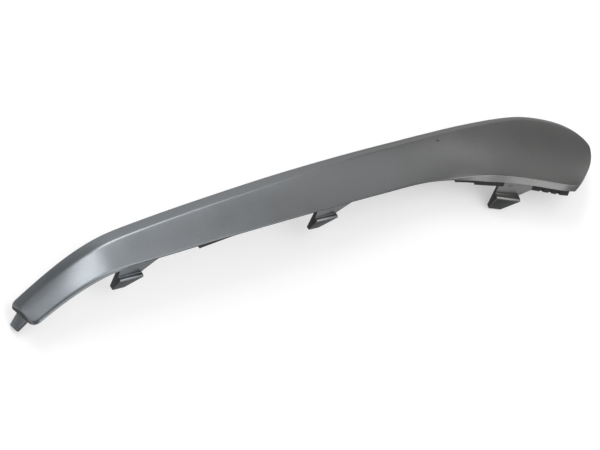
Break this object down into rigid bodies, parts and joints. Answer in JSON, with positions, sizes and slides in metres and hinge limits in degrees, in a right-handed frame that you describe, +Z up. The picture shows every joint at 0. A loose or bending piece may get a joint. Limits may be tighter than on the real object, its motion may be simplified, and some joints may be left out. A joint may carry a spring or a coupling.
{
  "type": "bumper grille trim",
  "caption": "Curved moulded trim strip with a leaf-shaped wide end, snap hooks along its lower side and a locating tab at its narrow end.",
  "frame": {"origin": "centre of the bounding box in plan, on the floor", "axes": "+X along the strip towards its wide end, +Y across it towards its upper rail, +Z up from the floor, out of the face"},
  "size_m": [0.4516, 0.0756, 0.0426],
  "materials": {
    "satin_silver": "satin silver-grey metallic paint on moulded plastic"
  },
  "bodies": {
    "root": {"trim_moulding": "satin_silver"}
  },
  "joints": []
}
